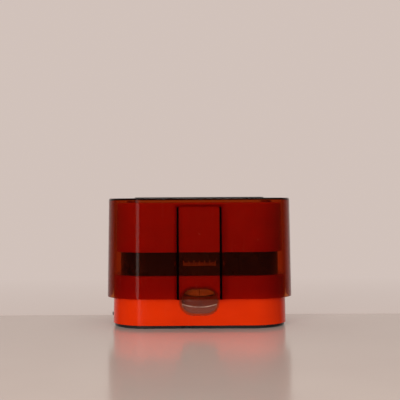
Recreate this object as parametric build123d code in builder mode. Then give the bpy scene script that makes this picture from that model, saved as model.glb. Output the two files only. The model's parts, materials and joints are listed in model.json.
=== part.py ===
from build123d import *
import os
from math import cos, pi, radians, sin, tan

# Mechanical kitchen scale. A spring-borne weighing tray telescopes over a black neck on a
# hollow base, and a see-through cover stands over it all and serves as the bowl when turned over.
# Millimetres, +Z up, front towards -Y. The origin is on the table, at the middle of the footprint.

# ---------------------------------------------------------------- driving dimensions
# Heights above the table
foot_gap = 0.5
housing_bottom = 3.8
cover_rim = 32.9
shelf_top = 57.3
tray_bottom = 82.8
neck_top = 100.0
tray_top = 136.7
cover_top = 141.6
bowl_foot_top = 142.6

# Outer sizes in plan, each at the piece's lower edge: width, depth and corner radius
cover_plan = (205.5, 133.0, 45.8)
housing_plan = (192.8, 120.0, 39.4)
tray_plan = (185.8, 113.5, 36.4)
neck_plan = (175.6, 101.5, 30.5)
pan_plan = (189.3, 116.5, 37.6)
bowl_foot_plan = (145.0, 75.0, 22.0)

draft = 1.2
cover_draft = 1.0
cover_wall = 2.6
cover_plate = 2.0
housing_wall = 2.5
shelf_thickness = 2.4
tray_wall = 2.4
tray_ceiling = 3.6
neck_wall = 2.2
pan_plate = housing_bottom - foot_gap
screw_gap = 0.05
screw_radius = 1.5
tray_screw_radius = 1.4
housing_boss_radius = 4.0

# Raised channel on the cover's front, which clears the lens
channel_top = 134.8
channel_foot_half = 27.2
channel_face_half = 24.4
channel_rise_at_rim = 4.5
channel_lean = 2.2
channel_corner = 1.6

# Reading lens
lens_height = 30.3
lens_plan = (43.2, 31.2, 14.8)
lens_rim = 2.4
lens_seat = -58.2
gasket_thickness = 0.5
lens_flange = 2.0
lens_rise = 5.0
lens_radius = 45.0

# Weighing movement: the tray sinks by tray_travel, the levers turn and the rack drives the dial
tray_travel = 5.0
short_arm = 28.0
long_arm = 70.0
pivot_x = -66.0
column_x = pivot_x + short_arm
rack_x = pivot_x + long_arm
lower_z = 32.0
upper_z = 66.0
lever_angle = tray_travel / short_arm
spring_x = -26.0
spring_bar_z = 22.0
anchor_z = 76.0
spring_places = (-8.0, 8.0)
bar_radius = 1.5

dial_z = 79.5
dial_radius = 46.0
dial_front = -45.5
dial_thickness = 1.2
shaft_radius = 1.5
gear_module = 0.75
pinion_teeth = 8
pinion_radius = gear_module * pinion_teeth / 2
tooth_pitch = pi * gear_module
rack_back = 8.5
rack_layer = (-24.0, -20.0)

# Stepped plate below the dial: a front plate with a raised lip on its arc, and a rear plate that
# reaches nearer to the dial's rim, held by two ribs. The index pointer moves between the plates.
mask_gap = 9.0
mask_half = 32.0
mask_bottom = 9.0
mask_top = 43.0
mask_back = -51.4
mask_thickness = 1.2
lip_width = 1.1
lip_height = 1.2
lip_half = 24.0
rear_gap = 0.8
rear_back = -46.3
rear_thickness = 0.9
rear_bottom = 18.5
rib_centre = 28.0
rib_width = 2.0
rib_top = 31.0
mask_front = mask_back - mask_thickness
mask_screw_radius = 1.1

# Chassis of bent sheet
sheet = 1.5
chassis_half = 30.0
chassis_floor = 4.5

# Zero setting: a thumbwheel with an eccentric pin swings the index arm
wheel_x = -86.5
wheel_radius = 13.0
wheel_bottom = 9.3
wheel_thickness = 2.7
wheel_pin_offset = 5.0
wheel_pin_radius = 1.0
arm_bottom = 12.9
arm_thickness = 1.2
pointer_depth = -49.0

housing_screw_places = [(x, y) for x in (-76.0, 76.0) for y in (-42.0, 42.0)]
chassis_screw_places = [(x, y) for x in (-50.0, 12.0) for y in (-20.0, 20.0)]
neck_screw_places = [(x, y) for x in (-79.5, 79.5) for y in (-30.0, 30.0)]
tray_screw_places = [(x, y) for x in (-57.0, 57.0) for y in (-26.0, 26.0)]
foot_places = [(x, y) for x in (-62.0, 62.0) for y in (-32.0, 32.0)]
cover_pad_places = [(x, y) for x in (-76.0, 76.0) for y in (-38.0, 38.0)]
rivet_places = [(column_x - 9.0, 0.0), (column_x + 9.0, 0.0)]
mask_screw_places = [(-28.0, 15.0), (28.0, 15.0)]
stop_places = [(column_x, -22.7), (column_x, 22.7)]

# The channel stands out at the front only, so the scale's axis is half of it behind the origin
axis_y = channel_rise_at_rim / 2


# ---------------------------------------------------------------- construction planes
def level(height):
    """Horizontal plane at a height, centred on the scale's axis."""
    return Plane((0, axis_y, height))


def facing(depth):
    """Upright plane at a depth behind the axis, its normal to the front, local y upwards."""
    return Plane(origin=(0, axis_y + depth, 0), x_dir=(1, 0, 0), z_dir=(0, -1, 0))


def leaning(front, angle):
    """Plane through the rim's height at a distance in front of the axis, leaning back."""
    lean = radians(angle)
    return Plane(origin=(0, axis_y - front, cover_rim), x_dir=(1, 0, 0), z_dir=(0, -cos(lean), sin(lean)))


def inset(plan, amount):
    """Plan of the same shape, smaller by an amount all round."""
    return (plan[0] - 2 * amount, plan[1] - 2 * amount, plan[2] - amount)


# ---------------------------------------------------------------- shared forms
def drafted_block(plan, bottom, top, edge_radius=0.0, angle=draft):
    """Rounded block that narrows upwards by the mould draft."""
    with BuildPart() as block:
        with BuildSketch(level(bottom)):
            RectangleRounded(*plan)
        extrude(amount=top - bottom, taper=angle)
        if edge_radius:
            fillet(block.faces().sort_by(Axis.Z)[-1].edges(), radius=edge_radius)
    return block.part


def bowl_form(wall, edge_radius):
    """Cover outline with its channel, for a wall of zero the outside, else the hollow."""
    front = cover_plan[1] / 2 - wall
    rise = channel_top - cover_rim - wall
    below = 8.0
    overlap = 1.0
    top = cover_top - (cover_plate if wall else 0)
    block = drafted_block(inset(cover_plan, wall), cover_rim, top, edge_radius, cover_draft)
    with BuildPart() as form:
        foot_plane = leaning(front - overlap, cover_draft)
        face_plane = leaning(front + channel_rise_at_rim, channel_lean)
        slope = (channel_foot_half - channel_face_half) / channel_rise_at_rim
        foot_half = channel_foot_half - wall + overlap * slope
        face_half = channel_face_half - wall
        for plane, half in ((foot_plane, foot_half), (face_plane, face_half)):
            with BuildSketch(plane):
                with Locations((0, (rise - below) / 2)):
                    RectangleRounded(2 * half, rise + below, channel_corner)
        loft(ruled=True)
        split(bisect_by=Plane.XY.offset(cover_rim), keep=Keep.TOP)
        add(block)
    return form.part


def turned_group(places, plane, radius, length):
    """Equal round bars that start on one plane."""
    with BuildPart() as group:
        with BuildSketch(plane):
            with Locations(*places):
                Circle(radius)
        extrude(amount=length)
    return group.part


def screw_group(places, seat, head, shank):
    """Pan-head screws on one plane, their heads behind it and their shanks along its normal."""
    head_radius, head_height = head
    shank_radius, shank_length = shank
    with BuildPart() as group:
        add(turned_group(places, seat, head_radius, -head_height))
        add(turned_group(places, seat, shank_radius, shank_length))
    return group.part


# ---------------------------------------------------------------- base
lip_plan = inset(housing_plan, housing_wall + 0.25)
lip_wall = 2.0
lip_top = 8.0
boss_top = chassis_floor
stud_radius = 1.5
foot_radius = 6.0
foot_sunk = 1.2
pan_hole = screw_radius + screw_gap
pan_recess = 1.2
pan_recess_radius = 3.3
thread_floor = 0.8
wheel_stud = (wheel_x, wheel_bottom - 0.2, 12.6)
arm_stud = (0.0, arm_bottom - 0.2, 15.4)

with BuildPart() as base_pan:
    with BuildSketch(level(foot_gap)):
        RectangleRounded(*pan_plan)
    extrude(amount=pan_plate)
    chamfer(base_pan.faces().sort_by(Axis.Z)[0].edges(), length=0.5)
    with BuildSketch(level(housing_bottom)):
        RectangleRounded(*lip_plan)
        RectangleRounded(*inset(lip_plan, lip_wall), mode=Mode.SUBTRACT)
    extrude(amount=lip_top - housing_bottom)
    with BuildSketch(level(housing_bottom)):
        with Locations(*chassis_screw_places):
            Circle(housing_boss_radius)
    extrude(amount=boss_top - housing_bottom)
    for stud_x, shoulder, stud_top in (wheel_stud, arm_stud):
        with BuildSketch(level(housing_bottom)):
            with Locations((stud_x, 0)):
                Circle(2 * stud_radius)
        extrude(amount=shoulder - housing_bottom)
        with BuildSketch(level(shoulder)):
            with Locations((stud_x, 0)):
                Circle(stud_radius)
        extrude(amount=stud_top - shoulder)
    with BuildSketch(level(foot_gap)):
        with Locations(*foot_places):
            Circle(foot_radius + 0.1)
    extrude(amount=foot_sunk, mode=Mode.SUBTRACT)
    with BuildSketch(level(foot_gap)):
        with Locations(*housing_screw_places):
            Circle(pan_recess_radius)
    extrude(amount=pan_recess, mode=Mode.SUBTRACT)
    with BuildSketch(level(foot_gap)):
        with Locations(*housing_screw_places):
            Circle(pan_hole + 0.15)
    extrude(amount=pan_plate, mode=Mode.SUBTRACT)
    with BuildSketch(level(foot_gap + thread_floor)):
        with Locations(*chassis_screw_places):
            Circle(pan_hole)
    extrude(amount=boss_top, mode=Mode.SUBTRACT)

with BuildPart() as rubber_feet:
    add(turned_group(foot_places, level(0), foot_radius, foot_gap + foot_sunk))
    chamfer(rubber_feet.faces().group_by(Axis.Z)[0].edges(), length=0.4)

with BuildPart() as housing_screws:
    pan_seat = level(foot_gap + pan_recess)
    add(screw_group(housing_screw_places, pan_seat, head=(3.0, 1.1), shank=(screw_radius, 11.0)))

# Hole in the shelf and in the neck's floor through which the movement rises
well_plan = (150.0, neck_plan[1] - 2 * neck_wall, 20.0)
window_plan = inset(lens_plan, lens_rim - 0.5)
plug_plan = inset(lens_plan, lens_rim)
slot_half = 12.2
slot_clearance = 2.0
housing_bore_depth = 12.0
mask_boss_radius = 3.0
mask_boss_length = 5.2
mask_bore_depth = 3.5
seat_clearance = 0.3
neck_floor = 2.0

housing_block = drafted_block(housing_plan, housing_bottom, shelf_top, 2.0)
housing_hollow = drafted_block(inset(housing_plan, housing_wall), housing_bottom, shelf_top - shelf_thickness)
with BuildPart() as lower_housing:
    add(housing_block)
    add(housing_hollow, mode=Mode.SUBTRACT)
    with BuildSketch(level(shelf_top - shelf_thickness)):
        RectangleRounded(*well_plan)
        with Locations(*neck_screw_places):
            Circle(pan_hole)
    extrude(amount=shelf_thickness, mode=Mode.SUBTRACT)
    with BuildSketch(level(housing_bottom)):
        with Locations(*housing_screw_places):
            Circle(housing_boss_radius)
    extrude(amount=shelf_top - shelf_thickness - housing_bottom)
    with BuildSketch(level(housing_bottom)):
        with Locations(*housing_screw_places):
            Circle(pan_hole)
    extrude(amount=housing_bore_depth, mode=Mode.SUBTRACT)
    with BuildSketch(facing(mask_front)):
        with Locations(*mask_screw_places):
            Circle(mask_boss_radius)
    extrude(amount=mask_boss_length)
    with BuildSketch(facing(mask_front)):
        with Locations(*mask_screw_places):
            Circle(mask_screw_radius + screw_gap)
    extrude(amount=mask_bore_depth, mode=Mode.SUBTRACT)
    with BuildSketch(facing(lens_seat)):
        with Locations((0, lens_height)):
            RectangleRounded(*inset(lens_plan, -seat_clearance))
    extrude(amount=2 * housing_wall, mode=Mode.SUBTRACT)
    with BuildSketch(facing(lens_seat + 2 * housing_wall)):
        with Locations((0, lens_height)):
            RectangleRounded(*window_plan)
    extrude(amount=4 * housing_wall, mode=Mode.SUBTRACT)
    with BuildSketch(Plane(origin=(-housing_plan[0] / 2, axis_y, 0), x_dir=(0, 1, 0), z_dir=(1, 0, 0))):
        with Locations((0, wheel_bottom + wheel_thickness / 2)):
            RectangleRounded(2 * slot_half, wheel_thickness + slot_clearance, 1.5)
    extrude(amount=2 * housing_wall, mode=Mode.SUBTRACT)

with BuildPart() as neck_shell:
    with BuildSketch(level(shelf_top)):
        RectangleRounded(*neck_plan)
        RectangleRounded(*inset(neck_plan, neck_wall), mode=Mode.SUBTRACT)
    extrude(amount=neck_top - shelf_top)
    with BuildSketch(level(shelf_top)):
        RectangleRounded(*neck_plan)
        RectangleRounded(*well_plan, mode=Mode.SUBTRACT)
    extrude(amount=neck_floor)
    with BuildSketch(level(shelf_top)):
        with Locations(*neck_screw_places):
            Circle(pan_hole)
    extrude(amount=neck_floor, mode=Mode.SUBTRACT)
    fillet(neck_shell.faces().sort_by(Axis.Z)[-1].edges(), radius=0.8)

with BuildPart() as neck_screws:
    shelf_seat = level(shelf_top - shelf_thickness)
    add(screw_group(neck_screw_places, shelf_seat, head=(2.8, 1.8), shank=(screw_radius, 5.0)))

# ---------------------------------------------------------------- reading lens
flange_back = lens_seat - gasket_thickness
plug_back = -55.2

with BuildPart() as lens:
    with BuildSketch(facing(flange_back)):
        with Locations((0, lens_height)):
            RectangleRounded(*plug_plan)
    extrude(amount=lens_flange + lens_rise + 1.0)
    dome_centre = axis_y + flange_back - lens_flange - lens_rise + lens_radius
    with Locations((0, dome_centre, lens_height)):
        Sphere(lens_radius, mode=Mode.INTERSECT)
    fillet(lens.faces().sort_by(Axis.Y)[0].edges(), radius=1.2)
    with BuildSketch(facing(flange_back)):
        with Locations((0, lens_height)):
            RectangleRounded(*lens_plan)
    extrude(amount=lens_flange)
    with BuildSketch(facing(plug_back)):
        with Locations((0, lens_height)):
            RectangleRounded(*plug_plan)
    extrude(amount=plug_back - flange_back)

with BuildPart() as lens_gasket:
    with BuildSketch(facing(lens_seat)):
        with Locations((0, lens_height)):
            RectangleRounded(*inset(lens_plan, 0.2))
            RectangleRounded(*inset(window_plan, 0.2), mode=Mode.SUBTRACT)
    extrude(amount=gasket_thickness)

with BuildPart() as lens_retainer:
    with BuildSketch(facing(plug_back)):
        with Locations((0, lens_height)):
            RectangleRounded(*inset(lens_plan, -1.5))
            RectangleRounded(*inset(plug_plan, -0.05), mode=Mode.SUBTRACT)
    extrude(amount=1.0)

def plate_below_dial(depth, half, bottom, gap, thickness):
    """Upright plate with its upper edge an arc about the dial's axis."""
    with BuildPart() as plate:
        with BuildSketch(facing(depth)):
            with Locations((0, (bottom + mask_top) / 2)):
                Rectangle(2 * half, mask_top - bottom)
            with Locations((0, dial_z)):
                Circle(dial_radius + gap, mode=Mode.SUBTRACT)
        extrude(amount=thickness)
    return plate.part


with BuildPart() as dial_mask:
    add(plate_below_dial(mask_back, mask_half, mask_bottom, mask_gap, mask_thickness))
    with BuildSketch(facing(mask_back)):
        with Locations(*mask_screw_places):
            Circle(mask_screw_radius + 0.2)
    extrude(amount=mask_thickness, mode=Mode.SUBTRACT)
    with BuildSketch(facing(mask_front)):
        with Locations((0, dial_z)):
            Circle(dial_radius + mask_gap + lip_width)
            Circle(dial_radius + mask_gap, mode=Mode.SUBTRACT)
        with Locations((0, dial_z - dial_radius)):
            Rectangle(2 * lip_half, dial_radius, mode=Mode.INTERSECT)
    extrude(amount=lip_height)
    add(plate_below_dial(rear_back, rib_centre + rib_width / 2, rear_bottom, rear_gap, rear_thickness))
    with BuildSketch(facing(rear_back)):
        for side in (-1, 1):
            with Locations((side * rib_centre, (rear_bottom + rib_top) / 2)):
                Rectangle(rib_width, rib_top - rear_bottom)
    extrude(amount=rear_back - mask_back)

with BuildPart() as mask_screws:
    add(screw_group(mask_screw_places, facing(mask_back), head=(2.2, 1.2), shank=(mask_screw_radius, 4.0)))

# ---------------------------------------------------------------- chassis
chassis_right = 18.0
chassis_top = 92.0
plate_outline = [
    (pivot_x - 7, 24),
    (pivot_x + 4, chassis_floor),
    (chassis_right, chassis_floor),
    (chassis_right, chassis_top),
    (column_x + 4, chassis_top),
    (pivot_x - 7, upper_z + 8),
]
pin_radius = 2.0
bush_radius = 3.5
arm_window_half = 7.0

with BuildPart() as chassis:
    with BuildSketch(level(chassis_floor)):
        with Locations(((pivot_x + 4 + chassis_right) / 2, 0)):
            Rectangle(chassis_right - pivot_x - 4, 2 * chassis_half)
        with Locations(*chassis_screw_places):
            Circle(1.7, mode=Mode.SUBTRACT)
        Circle(5.0, mode=Mode.SUBTRACT)
    extrude(amount=sheet)
    for plate_back in (chassis_half, sheet - chassis_half):
        with BuildSketch(facing(plate_back)):
            with BuildLine():
                Polyline(*plate_outline, close=True)
            make_face()
            with Locations((pivot_x, lower_z), (pivot_x, upper_z)):
                Circle(pin_radius + 0.02, mode=Mode.SUBTRACT)
            with Locations((0, dial_z)):
                Circle(bush_radius + 0.02, mode=Mode.SUBTRACT)
            with Locations((spring_x, anchor_z)):
                Circle(bar_radius + 0.02, mode=Mode.SUBTRACT)
            with Locations((spring_x + 6, 48)):
                RectangleRounded(26, 26, 6, mode=Mode.SUBTRACT)
        extrude(amount=sheet)
    with BuildSketch(facing(sheet - chassis_half)):
        with Locations((0, arm_bottom + arm_thickness / 2)):
            Rectangle(2 * arm_window_half, 6)
    extrude(amount=sheet, mode=Mode.SUBTRACT)

with BuildPart() as chassis_screws:
    chassis_seat = Plane((0, axis_y, chassis_floor + sheet), x_dir=(1, 0, 0), z_dir=(0, 0, -1))
    add(screw_group(chassis_screw_places, chassis_seat, head=(3.0, 1.8), shank=(screw_radius, 4.0)))

with BuildPart() as lever_pivot_pins:
    pin_places = [(pivot_x, lower_z), (pivot_x, upper_z)]
    add(turned_group(pin_places, facing(chassis_half + 1), pin_radius, 2 * chassis_half + 2))
    add(turned_group(pin_places, facing(-chassis_half), 3.4, 1.4))

with BuildPart() as anchor_bar:
    add(turned_group([(spring_x, anchor_z)], facing(chassis_half + 1), bar_radius, 2 * chassis_half + 2))

with BuildPart() as shaft_bushes:
    for bush_front, outward in ((-chassis_half - 1, 1), (chassis_half - sheet, -1)):
        flange_plane = facing(bush_front + 1) if outward == 1 else facing(chassis_half + 1)
        with BuildSketch(flange_plane):
            with Locations((0, dial_z)):
                Circle(bush_radius + 1.2)
                Circle(shaft_radius + 0.05, mode=Mode.SUBTRACT)
        extrude(amount=1.0)
        with BuildSketch(facing(sheet - chassis_half if outward == 1 else chassis_half)):
            with Locations((0, dial_z)):
                Circle(bush_radius)
                Circle(shaft_radius + 0.05, mode=Mode.SUBTRACT)
        extrude(amount=sheet)

with BuildPart() as overload_stops:
    add(turned_group(stop_places, level(chassis_floor + sheet), 3.5, 6.7))

# Coil of each extension spring, between a ring round the anchor bar and one round the spring bar
wire_radius = 0.6
coil_radius = 4.0
ring_radius = 3.0
ring_shift = ring_radius - wire_radius - bar_radius - 0.05
coil_bottom = spring_bar_z + ring_shift + ring_radius
coil_top = anchor_z - ring_shift - ring_radius
coil_turns = 14


with BuildPart() as spring:
    coil_height = coil_top - coil_bottom
    with BuildLine(Plane((spring_x, axis_y, coil_bottom))):
        Helix(pitch=coil_height / coil_turns, height=coil_height, radius=coil_radius)
    with BuildSketch(Plane(origin=(spring_x + coil_radius, axis_y, coil_bottom), z_dir=(0, 1, 0))):
        Circle(wire_radius)
    sweep(is_frenet=True)
    for ring_z, joint_z in ((coil_bottom - ring_radius, coil_bottom), (coil_top + ring_radius, coil_top)):
        with Locations(Location((spring_x, axis_y, ring_z), (90, 0, 0))):
            Torus(ring_radius, wire_radius)
        with Locations(Location((spring_x + coil_radius / 2, axis_y, joint_z), (0, 90, 0))):
            Cylinder(1.1 * wire_radius, coil_radius + wire_radius)

with BuildPart() as main_springs:
    with Locations(*[(0, place) for place in spring_places]):
        add(spring.part)

# ---------------------------------------------------------------- levers
arm_half = 4.0
arm_layer = 16.75
lever_pin_radius = 1.5
rack_pin_radius = 1.2


def lever(height, front_end, rear_end):
    """Sheet lever: two arms on one fixed pivot, joined by a web."""
    with BuildPart() as body:
        for arm_front, end_x in ((-arm_layer, front_end), (arm_layer - sheet, rear_end)):
            with BuildSketch(facing(arm_front + sheet)):
                with Locations(((pivot_x + end_x) / 2, height)):
                    SlotOverall(end_x - pivot_x + 2 * arm_half, 2 * arm_half)
                with Locations((pivot_x, height)):
                    Circle(pin_radius + 0.05, mode=Mode.SUBTRACT)
                with Locations((column_x, height)):
                    Circle(lever_pin_radius + 0.02, mode=Mode.SUBTRACT)
                if end_x > column_x:
                    with Locations((end_x, height)):
                        Circle(rack_pin_radius + 0.02, mode=Mode.SUBTRACT)
            extrude(amount=sheet)
        with BuildSketch(level(height + arm_half - sheet)):
            with Locations((pivot_x + short_arm / 2, 0)):
                Rectangle(short_arm / 2, 2 * arm_layer)
        extrude(amount=sheet)
    return body.part


with BuildPart() as lower_lever:
    add(lever(lower_z, rack_x, column_x))

with BuildPart() as upper_lever:
    add(lever(upper_z, column_x, column_x))

with BuildPart() as lower_lever_pin:
    add(turned_group([(column_x, lower_z)], facing(25), lever_pin_radius, 50))

with BuildPart() as upper_lever_pin:
    add(turned_group([(column_x, upper_z)], facing(25), lever_pin_radius, 50))

with BuildPart() as rack_pin:
    add(turned_group([(rack_x, lower_z)], facing(sheet - arm_layer), rack_pin_radius, 9.5))

# ---------------------------------------------------------------- dial train
tooth_half = 0.16 * tooth_pitch
flank = tan(radians(20))
addendum = gear_module
dedendum = 1.25 * gear_module
tooth_height = addendum + dedendum + 0.2

with BuildPart() as pinion:
    with BuildSketch(facing(rack_layer[1] + 0.5)):
        with Locations((0, dial_z)):
            Circle(pinion_radius - dedendum)
            with PolarLocations(0, pinion_teeth, start_angle=180 / pinion_teeth):
                with Locations((pinion_radius + addendum - tooth_height / 2, 0)):
                    Trapezoid(2 * (tooth_half + dedendum * flank), tooth_height, 72, rotation=-90)
            Circle(shaft_radius + 0.02, mode=Mode.SUBTRACT)
    extrude(amount=rack_layer[1] - rack_layer[0] + 1.0)

rack_length_up = tray_travel * long_arm / short_arm
tooth_count = int((rack_length_up + 12.0) / tooth_pitch)
rack_top = dial_z + (tooth_count - 2) * tooth_pitch + 2.0
ear_slot_left = rack_x - long_arm * (1 - cos(lever_angle)) - rack_pin_radius - 0.2
ear_slot_right = rack_x + rack_pin_radius + 0.2

with BuildPart() as rack:
    with BuildSketch(facing(rack_layer[1])):
        spine_left = pinion_radius + dedendum
        with Locations(((spine_left + rack_back) / 2, (lower_z - 5 + rack_top) / 2)):
            Rectangle(rack_back - spine_left, rack_top - lower_z + 5)
        with Locations((rack_back / 2 - 0.2, lower_z)):
            RectangleRounded(rack_back + 0.4, 10, 2)
        for tooth in range(-2, tooth_count - 2):
            with Locations((pinion_radius + 0.1, dial_z + tooth * tooth_pitch)):
                Trapezoid(2 * (tooth_half + dedendum * flank), 2 * addendum + 0.2, 70, rotation=90)
        with Locations(((ear_slot_left + ear_slot_right) / 2, lower_z)):
            Rectangle(ear_slot_right - ear_slot_left, 2 * rack_pin_radius + 0.3, mode=Mode.SUBTRACT)
    extrude(amount=rack_layer[1] - rack_layer[0])

with BuildPart() as rack_guide:
    with BuildSketch(Plane((0, axis_y, dial_z - 8))):
        with Locations((rack_back + 1.7, (rack_layer[1] + sheet - chassis_half) / 2)):
            Rectangle(3.2, rack_layer[1] - sheet + chassis_half)
        with Locations((rack_back - 0.2, (rack_layer[0] - 0.2 + sheet - chassis_half) / 2)):
            Rectangle(7.0, rack_layer[0] - 0.2 - sheet + chassis_half)
    extrude(amount=16)

shaft_back = chassis_half + 2.5
shaft_length = shaft_back - dial_front + 1.0

with BuildPart() as dial_shaft:
    add(turned_group([(0, dial_z)], facing(shaft_back), shaft_radius, shaft_length))

with BuildPart() as dial_disc:
    with BuildSketch(facing(dial_front + dial_thickness)):
        with Locations((0, dial_z)):
            Circle(dial_radius)
            Circle(shaft_radius + 0.02, mode=Mode.SUBTRACT)
    extrude(amount=dial_thickness)
    fillet(dial_disc.edges().filter_by(GeomType.CIRCLE).sort_by(SortBy.RADIUS)[-2:], radius=0.3)

with BuildPart() as dial_hub:
    with BuildSketch(facing(dial_front + dial_thickness + 6)):
        with Locations((0, dial_z)):
            Circle(6)
            Circle(shaft_radius + 0.02, mode=Mode.SUBTRACT)
    extrude(amount=6)

# ---------------------------------------------------------------- zero setting
knurl_count = 48
fork_left = wheel_x + 1
pointer_tip = 30.5

with BuildPart() as zero_wheel:
    with BuildSketch(level(wheel_bottom)):
        with Locations((wheel_x, 0)):
            Circle(wheel_radius)
            Circle(stud_radius + 0.05, mode=Mode.SUBTRACT)
            with PolarLocations(wheel_radius + 0.15, knurl_count):
                Circle(0.45, mode=Mode.SUBTRACT)
    extrude(amount=wheel_thickness)
    with BuildSketch(level(wheel_bottom + wheel_thickness)):
        with Locations((wheel_x + wheel_pin_offset, 0)):
            Circle(wheel_pin_radius)
    extrude(amount=2.6)

with BuildPart() as index_arm:
    with BuildSketch(level(arm_bottom)):
        Circle(5.0)
        with Locations((fork_left / 2, 0)):
            Rectangle(-fork_left, 6)
        with Locations((0, pointer_depth / 2)):
            Rectangle(6, -pointer_depth)
        with Locations((wheel_x + wheel_pin_offset - 2, 0)):
            Rectangle(8, 2 * (wheel_pin_radius + 0.2), mode=Mode.SUBTRACT)
        Circle(stud_radius + 0.05, mode=Mode.SUBTRACT)
    extrude(amount=arm_thickness)

with BuildPart() as index_pointer:
    with BuildSketch(facing(pointer_depth)):
        with BuildLine():
            Polyline((-3, arm_bottom), (3, arm_bottom), (3, 18), (0.4, 24), (0.4, pointer_tip),
                     (-0.4, pointer_tip), (-0.4, 24), (-3, 18), close=True)
        make_face()
    extrude(amount=0.8)

with BuildPart() as index_clip:
    with BuildSketch(level(arm_bottom + arm_thickness + 0.1)):
        Circle(3.2)
        Circle(stud_radius + 0.02, mode=Mode.SUBTRACT)
    extrude(amount=0.8)

# ---------------------------------------------------------------- weighing platform
tray_block = drafted_block(tray_plan, tray_bottom, tray_top, 2.5)
tray_hollow = drafted_block(inset(tray_plan, tray_wall), tray_bottom, tray_top - tray_ceiling)
spider_top = 126.0
spider_thickness = 2.0
recess_depth = 1.2

with BuildPart() as weighing_tray:
    add(tray_block)
    add(tray_hollow, mode=Mode.SUBTRACT)
    with BuildSketch(level(tray_top)):
        RectangleRounded(*inset(bowl_foot_plan, -2.5))
    extrude(amount=-recess_depth, mode=Mode.SUBTRACT)
    with BuildSketch(level(spider_top)):
        with Locations(*tray_screw_places):
            Circle(4.0)
            Circle(tray_screw_radius + screw_gap, mode=Mode.SUBTRACT)
    extrude(amount=tray_top - tray_ceiling - spider_top)

with BuildPart() as tray_spider:
    with BuildSketch(level(spider_top - spider_thickness)):
        RectangleRounded(124, 64, 8)
        with Locations((18, 0)):
            RectangleRounded(60, 36, 8, mode=Mode.SUBTRACT)
        with Locations(*tray_screw_places):
            Circle(1.6, mode=Mode.SUBTRACT)
        with Locations(*rivet_places):
            Circle(1.5 + 0.02, mode=Mode.SUBTRACT)
    extrude(amount=spider_thickness)

with BuildPart() as tray_screws:
    spider_seat = level(spider_top - spider_thickness)
    add(screw_group(tray_screw_places, spider_seat, head=(3.0, 1.8), shank=(tray_screw_radius, 7.0)))

column_layer = 23.5
column_half = 6.0
column_bottom = 18.0
flange_top = spider_top - spider_thickness
slot_reach = short_arm * (1 - cos(lever_angle))
pin_slot = (2 * (lever_pin_radius + 0.15) + slot_reach, 2 * lever_pin_radius + 0.2)

with BuildPart() as platform_column:
    for strip_front in (-column_layer, column_layer - sheet):
        with BuildSketch(facing(strip_front + sheet)):
            with Locations((column_x, (column_bottom + flange_top) / 2)):
                Rectangle(2 * column_half, flange_top - column_bottom)
            with Locations(((column_x - column_half + spring_x + 6) / 2, spring_bar_z + 0.5)):
                Rectangle(spring_x + 6 - column_x + column_half, 9)
            for pin_z in (lower_z, upper_z):
                with Locations((column_x - slot_reach / 2, pin_z)):
                    Rectangle(*pin_slot, mode=Mode.SUBTRACT)
            with Locations((spring_x, spring_bar_z)):
                Circle(bar_radius + 0.02, mode=Mode.SUBTRACT)
        extrude(amount=sheet)
    with BuildSketch(level(flange_top - sheet)):
        with Locations((column_x, 0)):
            Rectangle(28, 2 * column_layer)
        with Locations(*rivet_places):
            Circle(1.5 + 0.02, mode=Mode.SUBTRACT)
    extrude(amount=sheet)

with BuildPart() as column_rivets:
    add(turned_group(rivet_places, level(flange_top - sheet), 1.5, sheet + spider_thickness))
    add(turned_group(rivet_places, level(flange_top - sheet), 2.8, -1.2))
    add(turned_group(rivet_places, level(spider_top), 2.8, 1.2))

with BuildPart() as spring_bar:
    add(turned_group([(spring_x, spring_bar_z)], facing(24.5), bar_radius, 49))

# ---------------------------------------------------------------- cover and bowl
bowl_outside = bowl_form(0.0, 1.8)
bowl_hollow = bowl_form(cover_wall, 0.8)

with BuildPart() as cover_shell:
    add(bowl_outside)
    add(bowl_hollow, mode=Mode.SUBTRACT)
    with BuildSketch(level(tray_top)):
        with Locations(*cover_pad_places):
            Circle(3.0)
    extrude(amount=cover_top - cover_plate - tray_top)

with BuildPart() as bowl_foot:
    with BuildSketch(level(cover_top)):
        RectangleRounded(*bowl_foot_plan)
    extrude(amount=bowl_foot_top - cover_top)
    fillet(bowl_foot.faces().sort_by(Axis.Z)[-1].edges(), radius=0.6)

# ---------------------------------------------------------------- output
pieces = {
    "base_pan": base_pan,
    "rubber_feet": rubber_feet,
    "housing_screws": housing_screws,
    "lower_housing": lower_housing,
    "neck_shell": neck_shell,
    "neck_screws": neck_screws,
    "lens": lens,
    "lens_gasket": lens_gasket,
    "lens_retainer": lens_retainer,
    "dial_mask": dial_mask,
    "mask_screws": mask_screws,
    "chassis": chassis,
    "chassis_screws": chassis_screws,
    "lever_pivot_pins": lever_pivot_pins,
    "anchor_bar": anchor_bar,
    "shaft_bushes": shaft_bushes,
    "overload_stops": overload_stops,
    "main_springs": main_springs,
    "lower_lever": lower_lever,
    "upper_lever": upper_lever,
    "lower_lever_pin": lower_lever_pin,
    "upper_lever_pin": upper_lever_pin,
    "rack_pin": rack_pin,
    "pinion": pinion,
    "rack": rack,
    "rack_guide": rack_guide,
    "dial_shaft": dial_shaft,
    "dial_disc": dial_disc,
    "dial_hub": dial_hub,
    "zero_wheel": zero_wheel,
    "index_arm": index_arm,
    "index_pointer": index_pointer,
    "index_clip": index_clip,
    "weighing_tray": weighing_tray,
    "tray_spider": tray_spider,
    "tray_screws": tray_screws,
    "platform_column": platform_column,
    "column_rivets": column_rivets,
    "spring_bar": spring_bar,
    "cover_shell": cover_shell,
    "bowl_foot": bowl_foot,
}

os.makedirs("parts", exist_ok=True)
for name, piece in pieces.items():
    piece.part.label = name
    export_step(piece.part, f"parts/{name}.step")
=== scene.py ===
import json
import math

import bmesh
import bpy
from mathutils import Matrix, Vector


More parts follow.
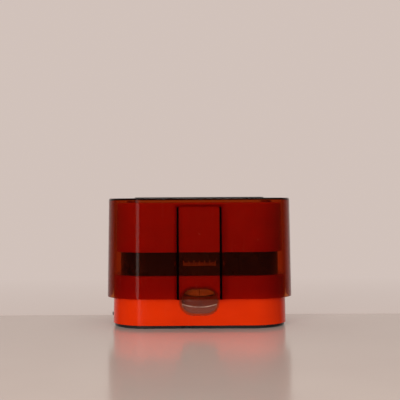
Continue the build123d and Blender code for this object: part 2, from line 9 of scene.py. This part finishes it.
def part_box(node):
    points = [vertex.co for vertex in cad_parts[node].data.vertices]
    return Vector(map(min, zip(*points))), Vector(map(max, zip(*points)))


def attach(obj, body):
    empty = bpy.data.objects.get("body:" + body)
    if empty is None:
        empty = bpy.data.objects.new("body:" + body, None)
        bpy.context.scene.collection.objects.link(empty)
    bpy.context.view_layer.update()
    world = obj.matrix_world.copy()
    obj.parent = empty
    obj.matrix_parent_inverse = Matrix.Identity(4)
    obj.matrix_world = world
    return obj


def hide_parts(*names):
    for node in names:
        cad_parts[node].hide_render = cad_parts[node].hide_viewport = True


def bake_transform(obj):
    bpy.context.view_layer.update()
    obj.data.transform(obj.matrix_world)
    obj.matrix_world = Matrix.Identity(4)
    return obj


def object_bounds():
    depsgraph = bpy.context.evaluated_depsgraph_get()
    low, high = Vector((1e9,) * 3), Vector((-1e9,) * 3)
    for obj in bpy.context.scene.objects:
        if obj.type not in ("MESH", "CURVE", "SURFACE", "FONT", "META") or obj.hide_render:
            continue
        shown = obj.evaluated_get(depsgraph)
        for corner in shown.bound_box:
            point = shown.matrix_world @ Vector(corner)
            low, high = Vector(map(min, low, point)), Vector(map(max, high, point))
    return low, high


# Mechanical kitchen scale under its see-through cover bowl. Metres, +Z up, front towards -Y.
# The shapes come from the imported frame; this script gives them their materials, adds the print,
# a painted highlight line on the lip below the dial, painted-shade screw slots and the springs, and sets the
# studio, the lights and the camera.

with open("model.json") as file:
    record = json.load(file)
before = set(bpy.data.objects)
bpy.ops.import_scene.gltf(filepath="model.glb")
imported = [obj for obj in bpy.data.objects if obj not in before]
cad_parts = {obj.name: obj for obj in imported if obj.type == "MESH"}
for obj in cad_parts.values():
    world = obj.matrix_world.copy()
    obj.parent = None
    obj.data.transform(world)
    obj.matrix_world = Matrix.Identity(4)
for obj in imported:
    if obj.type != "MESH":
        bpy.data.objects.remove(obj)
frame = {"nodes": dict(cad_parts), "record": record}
nodes = frame["nodes"]
cad_low, cad_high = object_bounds()

MM = 0.001
cover_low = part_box("cover_shell")[0]
housing_low, housing_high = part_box("lower_housing")
dial_low, dial_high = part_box("dial_disc")
neck_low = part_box("neck_shell")[0]
tray_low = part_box("weighing_tray")[0]
axis_y = (housing_low.y + housing_high.y) / 2


# ---------------------------------------------------------------- shader building blocks
class Shader:
    """One node material, with short ways to add the patterns that every finish is made of."""

    def __init__(self, name):
        self.material = bpy.data.materials.new(name)
        self.material.use_nodes = True
        self.tree = self.material.node_tree
        self.tree.nodes.clear()
        self.output = self.add("ShaderNodeOutputMaterial")
        self.place = self.add("ShaderNodeTexCoord").outputs["Object"]

    def add(self, kind, settings=None, **inputs):
        node = self.tree.nodes.new(kind)
        for key, value in (settings or {}).items():
            setattr(node, key, value)
        for key, value in inputs.items():
            self.feed(node.inputs[key.replace("_", " ")], value)
        return node

    def feed(self, socket, value):
        if isinstance(value, bpy.types.NodeSocket):
            self.tree.links.new(value, socket)
        else:
            socket.default_value = value

    def stretched(self, scale, turn=(0, 0, 0)):
        """Object coordinates, scaled by different amounts along each axis after a turn."""
        node = self.add("ShaderNodeMapping", Vector=self.place)
        node.inputs["Rotation"].default_value = [math.radians(angle) for angle in turn]
        node.inputs["Scale"].default_value = scale
        return node.outputs["Vector"]

    def noise(self, scale, detail=2.0, roughness=0.5, vector=None, distortion=0.0):
        node = self.add("ShaderNodeTexNoise", Vector=vector or self.place, Scale=scale, Detail=detail)
        node.inputs["Roughness"].default_value = roughness
        node.inputs["Distortion"].default_value = distortion
        return node.outputs["Fac"]

    def cells(self, scale, feature="F1", vector=None, output="Distance"):
        settings = {"feature": feature}
        node = self.add("ShaderNodeTexVoronoi", settings, Vector=vector or self.place, Scale=scale)
        return node.outputs[output]

    def span(self, value, low, high, to_low=0.0, to_high=1.0):
        """A value's stretch from low to high, spread over another, and held beyond its ends."""
        node = self.add("ShaderNodeMapRange", {"clamp": True}, Value=value)
        node.inputs["From Min"].default_value = low
        node.inputs["From Max"].default_value = high
        node.inputs["To Min"].default_value = to_low
        node.inputs["To Max"].default_value = to_high
        return node.outputs["Result"]

    def math(self, operation, first, second=0.0):
        node = self.add("ShaderNodeMath", {"operation": operation})
        self.feed(node.inputs[0], first)
        self.feed(node.inputs[1], second)
        return node.outputs["Value"]

    def blend(self, factor, first, second, kind="MIX"):
        """Colour between two colours."""
        node = self.add("ShaderNodeMix", {"data_type": "RGBA", "blend_type": kind})
        self.feed(node.inputs["Factor"], factor)
        self.feed(node.inputs[6], first)
        self.feed(node.inputs[7], second)
        return node.outputs[2]

    def bump(self, height, distance, strength=1.0, normal=None):
        node = self.add("ShaderNodeBump", Height=height, Distance=distance, Strength=strength)
        if normal is not None:
            self.feed(node.inputs["Normal"], normal)
        return node.outputs["Normal"]

    def edges(self, radius):
        """1 near sharp edges and 0 on faces, with a ragged border."""
        rounded = self.add("ShaderNodeBevel", {"samples": 4}, Radius=radius).outputs["Normal"]
        plain = self.add("ShaderNodeNewGeometry").outputs["Normal"]
        dot = self.add("ShaderNodeVectorMath", {"operation": "DOT_PRODUCT"})
        self.feed(dot.inputs[0], rounded)
        self.feed(dot.inputs[1], plain)
        broken = self.noise(900, 3)
        bent = self.span(dot.outputs["Value"], 0.99, 0.88)
        return self.math("MULTIPLY", bent, self.span(broken, 0.42, 0.62))

    def specks(self, scale, size, amount):
        """Sparse small dots, such as dust: a share of the cells has one."""
        dots = self.span(self.cells(scale), size, size * 0.6)
        chosen = self.span(self.cells(scale, output="Color"), 1 - amount, 1 - amount + 0.02)
        return self.math("MULTIPLY", dots, chosen)

    def scratches(self, scale, turns, width=0.012):
        """Fine hairline scratches in several directions."""
        total = None
        for turn in turns:
            lines = self.noise(scale, 1.5, 0.4, self.stretched((1, 0.035, 0.035), turn), 0.6)
            line = self.span(self.math("ABSOLUTE", self.math("SUBTRACT", lines, 0.5)), width, 0.0)
            patches = self.span(self.noise(scale * 0.12, 1, 0.5, self.stretched((1, 1, 1), turn)), 0.52, 0.66)
            line = self.math("MULTIPLY", line, patches)
            total = line if total is None else self.math("MAXIMUM", total, line)
        return total

    def principled(self, **inputs):
        return self.add("ShaderNodeBsdfPrincipled", **inputs)

    def finish(self, surface, volume=None):
        self.feed(self.output.inputs["Surface"], surface)
        if volume is not None:
            self.feed(self.output.inputs["Volume"], volume)
        return self.material


def colour(red, green, blue):
    return (red, green, blue, 1.0)


# ---------------------------------------------------------------- materials
scratch_turns = ((20, 35, 50), (70, 10, -25), (-40, 80, 15))


def glossy_plastic(name, base, deep, dust, rough=(0.12, 0.21)):
    """Moulded gloss plastic: faint flow clouds, orange peel, finger smears, hairlines, rubbed edges."""
    s = Shader(name)
    clouds = s.noise(28, 4, 0.55, s.stretched((1, 1, 2.2)))
    smears = s.noise(55, 5, 0.6, s.stretched((1, 1, 0.35), (0, 25, 0)), 1.2)
    hairs = s.scratches(140, scratch_turns)
    worn = s.edges(0.7 * MM)
    specks = s.specks(420, 0.13, 0.03)
    tone = s.blend(s.span(clouds, 0.3, 0.72), deep, base)
    tone = s.blend(s.math("MULTIPLY", worn, 0.25), tone, dust)
    tone = s.blend(s.math("MULTIPLY", specks, 0.4), tone, dust)
    tone = s.blend(s.math("MULTIPLY", hairs, 0.04), tone, dust)
    gloss = s.span(smears, 0.35, 0.7, *rough)
    gloss = s.math("ADD", gloss, s.math("MULTIPLY", hairs, 0.12))
    gloss = s.math("ADD", gloss, s.math("MULTIPLY", specks, 0.4))
    peel = s.math("ADD", s.noise(650, 2), s.math("MULTIPLY", s.noise(110, 1), 2.0))
    height = s.math("SUBTRACT", peel, s.math("MULTIPLY", hairs, 0.5))
    normal = s.bump(height, 0.004 * MM, 0.6)
    shader = s.principled(Base_Color=tone, Roughness=gloss, Normal=normal, IOR=1.5)
    shader.inputs["Specular IOR Level"].default_value = 0.5
    return s.finish(shader.outputs["BSDF"])


def see_through(name, tint, density, ior, smear, hair, rough=(0.015, 0.09)):
    """Clear or dyed plastic that lets lamps through, with smears, hairlines and dust on its gloss."""
    s = Shader(name)
    smears = s.noise(38, 5, 0.6, s.stretched((1, 1, 0.3), (0, -28, 0)), 1.4)
    wiped = s.noise(240, 3, 0.5, s.stretched((1, 1, 0.12), (0, 35, 0)))
    hairs = s.scratches(150, scratch_turns, 0.009)
    specks = s.specks(300, 0.14, 0.05)
    gloss = s.span(s.math("MULTIPLY", smears, s.math("ADD", wiped, 0.5)), 0.35, 0.75, *rough)
    gloss = s.math("ADD", gloss, s.math("MULTIPLY", hairs, hair))
    gloss = s.math("ADD", gloss, s.math("MULTIPLY", specks, 0.3))
    ripple = s.noise(16, 2, 0.5, s.stretched((1, 1, 0.5)))
    height = s.math("SUBTRACT", s.math("MULTIPLY", ripple, 4.0), s.math("MULTIPLY", hairs, 0.3))
    normal = s.bump(height, 0.01 * MM, smear)
    glass = s.principled(Base_Color=colour(1, 1, 1), Roughness=gloss, Normal=normal, IOR=ior)
    glass.inputs["Transmission Weight"].default_value = 1.0
    open_way = s.add("ShaderNodeBsdfTransparent", Color=colour(1, 1, 1))
    ray = s.add("ShaderNodeLightPath")
    mixed = s.add("ShaderNodeMixShader")
    s.feed(mixed.inputs[0], ray.outputs["Is Shadow Ray"])
    s.feed(mixed.inputs[1], glass.outputs["BSDF"])
    s.feed(mixed.inputs[2], open_way.outputs["BSDF"])
    dye = s.add("ShaderNodeVolumeAbsorption", Color=tint, Density=density)
    return s.finish(mixed.outputs["Shader"], dye.outputs["Volume"])


def satin_plastic(name, base, dusty, rough=(0.32, 0.5), grain=1400, depth=0.012):
    """Satin or grained moulded plastic with a fine texture, dust in it and a few rub marks."""
    s = Shader(name)
    fine = s.noise(grain, 3, 0.6)
    pits = s.cells(grain * 0.8)
    clouds = s.noise(45, 4, 0.6)
    hairs = s.scratches(160, scratch_turns, 0.010)
    worn = s.edges(0.6 * MM)
    specks = s.specks(520, 0.18, 0.10)
    tone = s.blend(s.span(clouds, 0.35, 0.75, 0.0, 0.35), base, dusty)
    tone = s.blend(s.math("MULTIPLY", s.span(fine, 0.45, 0.75), 0.25), tone, dusty)
    tone = s.blend(s.math("MULTIPLY", worn, 0.6), tone, dusty)
    tone = s.blend(s.math("MULTIPLY", specks, 0.5), tone, colour(0.42, 0.38, 0.34))
    gloss = s.span(clouds, 0.3, 0.7, *rough)
    gloss = s.math("SUBTRACT", gloss, s.math("MULTIPLY", hairs, 0.1))
    height = s.math("ADD", s.math("MULTIPLY", fine, 0.6), s.math("MULTIPLY", pits, 0.8))
    normal = s.bump(height, depth * MM, 0.7)
    shader = s.principled(Base_Color=tone, Roughness=gloss, Normal=normal, IOR=1.49)
    return s.finish(shader.outputs["BSDF"])


def matt_rubber(name):
    """Moulded rubber: dull, with bloom, talc-like dust and a grippy fine texture."""
    s = Shader(name)
    fine = s.noise(2200, 2, 0.6)
    bloom = s.noise(120, 5, 0.65)
    worn = s.edges(0.5 * MM)
    fresh = colour(0.016, 0.015, 0.015)
    bloomed = colour(0.055, 0.05, 0.046)
    tone = s.blend(s.span(bloom, 0.4, 0.75, 0.0, 0.6), fresh, bloomed)
    tone = s.blend(s.math("MULTIPLY", worn, 0.5), tone, colour(0.11, 0.10, 0.095))
    rough = s.span(bloom, 0.3, 0.7, 0.62, 0.85)
    normal = s.bump(fine, 0.02 * MM, 0.8)
    shader = s.principled(Base_Color=tone, Roughness=rough, Normal=normal, IOR=1.45)
    shader.inputs["Sheen Weight"].default_value = 0.08
    return s.finish(shader.outputs["BSDF"])


def metal(name, light, dark, stain, grain_scale, rough, turn=(0, 0, 0), spangle=0.0, depth=0.01):
    """Metal with drawn or rolled grain, plating clouds, a little tarnish and bright worn edges."""
    s = Shader(name)
    lines = s.noise(grain_scale, 3, 0.65, s.stretched((1, 1, 0.03), turn))
    clouds = s.noise(70, 5, 0.6)
    crystals = s.cells(420, output="Color")
    spots = s.noise(260, 4, 0.7)
    worn = s.edges(0.5 * MM)
    tone = s.blend(s.span(lines, 0.3, 0.7), dark, light)
    tone = s.blend(s.math("MULTIPLY", s.span(crystals, 0.0, 1.0), spangle), tone, dark)
    tone = s.blend(s.span(s.math("MULTIPLY", clouds, spots), 0.30, 0.48, 0.0, 0.45), tone, stain)
    tone = s.blend(s.math("MULTIPLY", worn, 0.5), tone, light)
    gloss = s.span(s.math("ADD", lines, clouds), 0.6, 1.4, *rough)
    normal = s.bump(s.math("ADD", lines, s.math("MULTIPLY", spots, 0.4)), depth * MM, 0.5)
    shader = s.principled(Base_Color=tone, Roughness=gloss, Normal=normal, Metallic=1.0)
    return s.finish(shader.outputs["BSDF"])


def painted_card(name, base, aged, rough=(0.45, 0.62)):
    """Matt lacquered dial sheet or acetal, yellowed in clouds, with foxing and a faint grain."""
    s = Shader(name)
    clouds = s.noise(35, 5, 0.6)
    foxing = s.specks(260, 0.22, 0.05)
    fine = s.noise(1500, 3, 0.6)
    worn = s.edges(0.5 * MM)
    tone = s.blend(s.span(clouds, 0.3, 0.75), base, aged)
    tone = s.blend(s.math("MULTIPLY", foxing, 0.35), tone, colour(0.32, 0.20, 0.09))
    tone = s.blend(s.math("MULTIPLY", worn, 0.3), tone, aged)
    normal = s.bump(fine, 0.01 * MM, 0.5)
    gloss = s.span(clouds, 0.3, 0.7, *rough)
    shader = s.principled(Base_Color=tone, Roughness=gloss, Normal=normal, IOR=1.48)
    return s.finish(shader.outputs["BSDF"])


def printing_ink(name, base, faded, metallic=0.0, rough=(0.3, 0.5)):
    """Screen-printed ink, a little uneven and rubbed through in places."""
    s = Shader(name)
    uneven = s.noise(900, 4, 0.7)
    rubbed = s.noise(160, 3, 0.6)
    tone = s.blend(s.span(s.math("MULTIPLY", uneven, rubbed), 0.2, 0.42), base, faded)
    normal = s.bump(uneven, 0.006 * MM, 0.6)
    rough_map = s.span(rubbed, 0.3, 0.7, *rough)
    shader = s.principled(Base_Color=tone, Roughness=rough_map, Normal=normal, Metallic=metallic)
    return s.finish(shader.outputs["BSDF"])


amber_tint = colour(0.8235, 0.462, 0.059)
amber_density = 1150.0

materials = {
    "orange_plastic": glossy_plastic(
        "orange_plastic", colour(0.80, 0.036, 0.0010), colour(0.73, 0.030, 0.0008), colour(0.85, 0.22, 0.10)
    ),
    "amber_cover": see_through("amber_cover", amber_tint, amber_density, 1.49, 0.35, 0.18),
    "clear_lens": see_through(
        "clear_lens", colour(0.93, 0.86, 0.80), 14.0, 1.49, 0.1, 0.10, (0.01, 0.05)
    ),
    "orange_seal": satin_plastic(
        "orange_seal", colour(0.50, 0.045, 0.006), colour(0.44, 0.07, 0.02), (0.35, 0.55), 1500, 0.006
    ),
    # Brown for the plate below the dial: a darkened orange that paints the shade deep inside the housing
    # behind the lens
    "brown_plastic": satin_plastic(
        "brown_plastic", colour(0.23, 0.034, 0.012), colour(0.27, 0.048, 0.022), (0.30, 0.48), 1500, 0.008
    ),
    "black_plastic": satin_plastic(
        "black_plastic", colour(0.017, 0.017, 0.018), colour(0.045, 0.044, 0.043), (0.22, 0.42), 1600, 0.006
    ),
    "dark_foot": satin_plastic(
        "dark_foot", colour(0.022, 0.021, 0.022), colour(0.06, 0.057, 0.055), (0.42, 0.6), 1300, 0.02
    ),
    "black_rubber": matt_rubber("black_rubber"),
    "dial_cream": painted_card("dial_cream", colour(0.88, 0.82, 0.70), colour(0.80, 0.70, 0.52)),
    "white_plastic": painted_card(
        "white_plastic", colour(0.74, 0.72, 0.66), colour(0.62, 0.57, 0.47), (0.3, 0.5)
    ),
    "plated_sheet": metal(
        "plated_sheet", colour(0.66, 0.65, 0.60), colour(0.50, 0.50, 0.47), colour(0.42, 0.38, 0.28),
        900, (0.28, 0.46), (0, 90, 0), 0.3
    ),
    "steel_screw": metal(
        "steel_screw", colour(0.62, 0.61, 0.57), colour(0.42, 0.42, 0.40), colour(0.30, 0.26, 0.2),
        1200, (0.25, 0.42)
    ),
    "turned_steel": metal(
        "turned_steel", colour(0.66, 0.66, 0.66), colour(0.50, 0.50, 0.51), colour(0.36, 0.33, 0.28),
        1500, (0.14, 0.30), (90, 0, 0)
    ),
    "spring_steel": metal(
        "spring_steel", colour(0.46, 0.46, 0.47), colour(0.26, 0.26, 0.27), colour(0.22, 0.17, 0.12),
        1300, (0.28, 0.48)
    ),
    "brass": metal(
        "brass", colour(0.78, 0.56, 0.24), colour(0.60, 0.40, 0.15), colour(0.28, 0.18, 0.08),
        1500, (0.18, 0.36)
    ),
}
gold_ink = printing_ink("gold_ink", colour(0.86, 0.60, 0.30), colour(0.55, 0.36, 0.17), 0.15)
# Dark ink for the dial print, also used as painted shade for the screw slots
ink_and_slot_shade = printing_ink("ink_and_slot_shade", colour(0.02, 0.018, 0.018), colour(0.09, 0.07, 0.055))
# Pale pinkish ink of the lip strip below the dial: a painted highlight
lip_highlight_paint = printing_ink("lip_highlight_paint", colour(0.85, 0.62, 0.52), colour(0.34, 0.10, 0.05), 0.0, (0.2, 0.35))


def assign(piece, material):
    piece.data.materials.clear()
    piece.data.materials.append(material)


for subpart in frame["record"]["subparts"]:
    assign(nodes[subpart["node"]], materials[subpart["material_slot"]])


# ---------------------------------------------------------------- new pieces
def piece_from(name, builder, material, body):
    """A mesh object filled by builder(bmesh), with its material, riding on a body."""
    mesh = bpy.data.meshes.new(name)
    work = bmesh.new()
    builder(work)
    bmesh.ops.recalc_face_normals(work, faces=work.faces)
    work.to_mesh(mesh)
    work.free()
    piece = bpy.data.objects.new(name, mesh)
    bpy.context.scene.collection.objects.link(piece)
    mesh.materials.append(material)
    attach(piece, body)
    return piece


def add_bar(work, centre, size, turn=0.0):
    """Box of a size about a point on a sheet facing -Y, turned in its plane."""
    made = bmesh.ops.create_cube(work, size=1.0)
    place = Matrix.Translation(centre) @ Matrix.Rotation(turn, 4, "Y") @ Matrix.Diagonal((*size, 1))
    bmesh.ops.transform(work, matrix=place, verts=made["verts"])


def numeral(name, text, size, place, turn, material, body):
    """Raised printed figure facing -Y, centred on a place and turned in its plane."""
    curve = bpy.data.curves.new(name, "FONT")
    curve.body = text
    curve.size = size
    curve.extrude = 0.03 * MM
    curve.align_x = "CENTER"
    curve.align_y = "CENTER"
    maker = bpy.data.objects.new(name + "_curve", curve)
    bpy.context.scene.collection.objects.link(maker)
    bpy.context.view_layer.update()
    mesh = bpy.data.meshes.new_from_object(maker)
    bpy.data.objects.remove(maker)
    mesh.name = name
    upright = Matrix.Rotation(math.radians(90), 4, "X")
    mesh.transform(Matrix.Translation(place) @ Matrix.Rotation(turn, 4, "Y") @ upright)
    mesh.materials.clear()
    mesh.materials.append(material)
    piece = bpy.data.objects.new(name, mesh)
    bpy.context.scene.collection.objects.link(piece)
    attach(piece, body)
    return piece


# Dial print: the zero is at the bottom, and the figures run anticlockwise as the dial turns clockwise
dial_centre = Vector(((dial_low.x + dial_high.x) / 2, dial_low.y, (dial_low.z + dial_high.z) / 2))
dial_radius = (dial_high.x - dial_low.x) / 2
full_load = 5
full_turn = math.radians(238.7)
small_steps = 100
half_step = 10
figure_step = 20
figure_size = 5.2 * MM
print_depth = 0.06 * MM
mark_ring = dial_radius - 1.2 * MM
figure_ring = dial_radius - 9.2 * MM


def on_dial(radius, turn):
    """Point of the dial's face at a radius and a turn from its lowest point."""
    return dial_centre + Vector((radius * math.sin(turn), -print_depth / 2, -radius * math.cos(turn)))


def dial_marks(work):
    for step in range(small_steps + 1):
        turn = full_turn * step / small_steps
        if step % figure_step == 0:
            length, width = 4.6 * MM, 0.50 * MM
        elif step % half_step == 0:
            length, width = 3.0 * MM, 0.28 * MM
        else:
            length, width = 1.7 * MM, 0.16 * MM
        add_bar(work, on_dial(mark_ring - length / 2, turn), (width, print_depth, length), -turn)


piece_from("dial_marks", dial_marks, ink_and_slot_shade, "dial")
for figure in range(full_load + 1):
    turn = full_turn * figure / full_load
    name = f"dial_figure_{figure}"
    numeral(name, str(figure), figure_size, on_dial(figure_ring, turn), -turn, ink_and_slot_shade, "dial")

# Painted highlight: a pale strip along the curved lip of the plate below the dial stands in for the light the
# lip catches, narrowed at its middle so its ends read brightest
mask_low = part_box("dial_mask")[0]
lip_radius = dial_radius + 9.55 * MM
lip_line = 0.75 * MM
lip_reach = math.radians(20)
lip_highlight_taper = math.radians(8)
lip_thinnest = 0.35
lip_steps = 48


def lip_strip(work):
    centre = Vector((dial_centre.x, mask_low.y - print_depth / 2, dial_centre.z))
    rings = []
    for step in range(lip_steps + 1):
        turn = lip_reach * (2 * step / lip_steps - 1)
        swell = lip_line * (lip_thinnest + (1 - lip_thinnest) * min(1.0, abs(turn) / lip_highlight_taper))
        ring = []
        for depth in (-print_depth / 2, print_depth / 2):
            for radius in (lip_radius - swell / 2, lip_radius + swell / 2):
                place = centre + Vector((radius * math.sin(turn), depth, -radius * math.cos(turn)))
                ring.append(work.verts.new(place))
        rings.append((ring[0], ring[1], ring[3], ring[2]))
    for near, far in zip(rings, rings[1:]):
        for side in range(4):
            work.faces.new((near[side], near[(side + 1) % 4], far[(side + 1) % 4], far[side]))
    work.faces.new(rings[0])
    work.faces.new(tuple(reversed(rings[-1])))


piece_from("lip_painted_highlight", lip_strip, lip_highlight_paint, "base")

# Painted shade: thin dark-ink crosses on the heads of the four screws under the base stand in for the shaded
# cross slots
screws_low, screws_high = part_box("housing_screws")
head_radius = 3.0 * MM
slot_length = 3.4 * MM
slot_width = 0.55 * MM


def screw_crosses(work):
    for x in (screws_low.x + head_radius, screws_high.x - head_radius):
        for y in (screws_low.y + head_radius, screws_high.y - head_radius):
            for size in ((slot_length, slot_width, print_depth), (slot_width, slot_length, print_depth)):
                add_bar(work, Vector((x, y, screws_low.z - print_depth / 2)), size)


piece_from("screw_crosses", screw_crosses, ink_and_slot_shade, "base")

# Graduation printed in gold on the black neck, behind the cover's channel
print_y = neck_low.y - print_depth / 2
print_z = neck_low.z + 0.45 * (tray_low.z - neck_low.z)
stroke_pitch = 1.15 * MM
strokes_each_side = 15
base_line_width = 36 * MM
base_line_height = 0.5 * MM
base_line_drop = 0.35 * MM


def neck_graduation(work):
    for step in range(-strokes_each_side, strokes_each_side + 1):
        tall = step % 5 == 0
        height = (4.6 if tall else 2.6) * MM
        width = (0.60 if tall else 0.42) * MM
        place = Vector((step * stroke_pitch, print_y, print_z + height / 2))
        add_bar(work, place, (width, print_depth, height))
    place = Vector((0, print_y, print_z - base_line_drop))
    add_bar(work, place, (base_line_width, print_depth, base_line_height))


piece_from("neck_graduation", neck_graduation, gold_ink, "base")

# Load springs: a copy of the same coils, shown in place of the imported ones
spring_source = nodes["main_springs"]
springs = bpy.data.objects.new("load_springs", spring_source.data.copy())
bpy.context.scene.collection.objects.link(springs)
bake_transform(springs)
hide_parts("main_springs")


# ---------------------------------------------------------------- studio
wall_colour = (0.640, 0.540, 0.495)
room_colour = (0.020, 0.018, 0.018)
table_end = axis_y + 70 * MM
eye_height = 139.4 * MM
front_distance = 1.0
side_step = 1.07 * MM
lens_length = 84.3
film_width = 36.0
camera_roll = math.radians(0.3)
floor_reach = 4.0


def make_floor():
    """Large glossy pale table top, matt and glowing like a wall from a line behind the object."""
    mesh = bpy.data.meshes.new("studio_floor")
    ends = ((-1, -1), (1, -1), (1, 1), (-1, 1))
    corners = [(floor_reach * x, floor_reach * y, 0) for x, y in ends]
    mesh.from_pydata(corners, [], [(0, 1, 2, 3)])
    floor = bpy.data.objects.new("studio_floor", mesh)
    bpy.context.scene.collection.objects.link(floor)
    s = Shader("studio_floor")
    mottle = s.noise(9, 4, 0.5)
    parts = s.add("ShaderNodeSeparateXYZ", Vector=s.place)
    beyond = s.span(parts.outputs["Y"], table_end - 2 * MM, table_end + 2 * MM)
    table = s.blend(s.span(mottle, 0.3, 0.7), colour(0.635, 0.555, 0.512), colour(0.605, 0.525, 0.485))
    tone = s.blend(beyond, table, colour(*wall_colour))
    rough = s.math("ADD", s.span(mottle, 0.3, 0.7, 0.13, 0.18), s.math("MULTIPLY", beyond, 0.6))
    normal = s.bump(s.noise(420, 3), 0.02 * MM, 0.35)
    shader = s.principled(Base_Color=tone, Roughness=rough, Normal=normal, IOR=1.5)
    glow = s.add("ShaderNodeEmission", Color=colour(*wall_colour), Strength=1.0)
    mixed = s.add("ShaderNodeMixShader")
    s.feed(mixed.inputs[0], s.math("MULTIPLY", beyond, s.span(parts.outputs["Y"], table_end, 0.6, 0.7, 1.0)))
    s.feed(mixed.inputs[1], shader.outputs["BSDF"])
    s.feed(mixed.inputs[2], glow.outputs["Emission"])
    mesh.materials.append(s.finish(mixed.outputs["Shader"]))
    floor.visible_glossy = False


class WorldShader(Shader):
    """The same short ways, for the nodes of a world instead of a material."""

    def __init__(self, world):
        self.tree = world.node_tree
        self.tree.nodes.clear()
        self.output = self.add("ShaderNodeOutputWorld")
        self.place = self.add("ShaderNodeTexCoord").outputs["Generated"]


def make_world():
    """Pale surroundings seen directly or through the cover, and a dim room in front for the gloss."""
    world = bpy.data.worlds.new("studio_world")
    bpy.context.scene.world = world
    world.use_nodes = True
    s = WorldShader(world)
    behind = s.add("ShaderNodeSeparateXYZ", Vector=s.place).outputs["Y"]
    ray = s.add("ShaderNodeLightPath")
    spread = s.add("ShaderNodeMix", Factor=ray.outputs["Is Glossy Ray"])
    s.feed(spread.inputs[2], s.span(behind, -0.55, 0.45))
    s.feed(spread.inputs[3], s.span(behind, 0.35, 1.05))
    wall = colour(*wall_colour)
    room = s.blend(spread.outputs[0], colour(*room_colour), wall)
    unscattered = s.math("LESS_THAN", ray.outputs["Diffuse Depth"], 0.5)
    through = s.math("MULTIPLY", ray.outputs["Is Transmission Ray"], unscattered)
    direct = s.math("MAXIMUM", ray.outputs["Is Camera Ray"], through)
    background = s.add("ShaderNodeBackground", Color=s.blend(direct, room, wall))
    s.feed(s.output.inputs["Surface"], background.outputs["Background"])


def area_light(name, place, aim, width, height, power, tint):
    light = bpy.data.lights.new(name, "AREA")
    light.shape = "RECTANGLE"
    light.size = width
    light.size_y = height
    light.energy = power
    light.color = tint
    lamp = bpy.data.objects.new(name, light)
    lamp.location = place
    lamp.visible_transmission = False
    lamp.rotation_euler = (Vector(aim) - Vector(place)).to_track_quat("-Z", "Y").to_euler()
    bpy.context.scene.collection.objects.link(lamp)
    return lamp


def make_lights():
    middle = (0, 0, (cad_low.z + cad_high.z) / 2)
    key = area_light("window_key", (-0.80, -1.90, 0.50), middle, 0.7, 1.0, 25.5, (1.0, 0.93, 0.86))
    key.visible_glossy = False
    area_light("window_gleam", (-0.97, -1.75, 0.45), middle, 0.32, 1.3, 1.0, (1.0, 0.88, 0.80))
    area_light("ceiling_fill", (0.2, -0.1, 1.9), middle, 1.6, 1.6, 10, (1.0, 0.95, 0.90))
    front_fill = area_light("front_fill", (0.5, -1.6, 0.9), middle, 1.4, 0.9, 8, (1.0, 0.94, 0.88))
    front_fill.visible_glossy = False


def make_camera():
    camera = bpy.data.objects.new("camera", bpy.data.cameras.new("camera"))
    camera.data.lens = lens_length
    camera.data.sensor_width = film_width
    camera.location = (side_step, cover_low.y - front_distance, eye_height)
    camera.rotation_euler = (math.radians(90), camera_roll, 0)
    bpy.context.scene.collection.objects.link(camera)
    bpy.context.scene.camera = camera


make_floor()
make_world()
make_lights()
make_camera()
bpy.context.scene.view_settings.view_transform = "Standard"
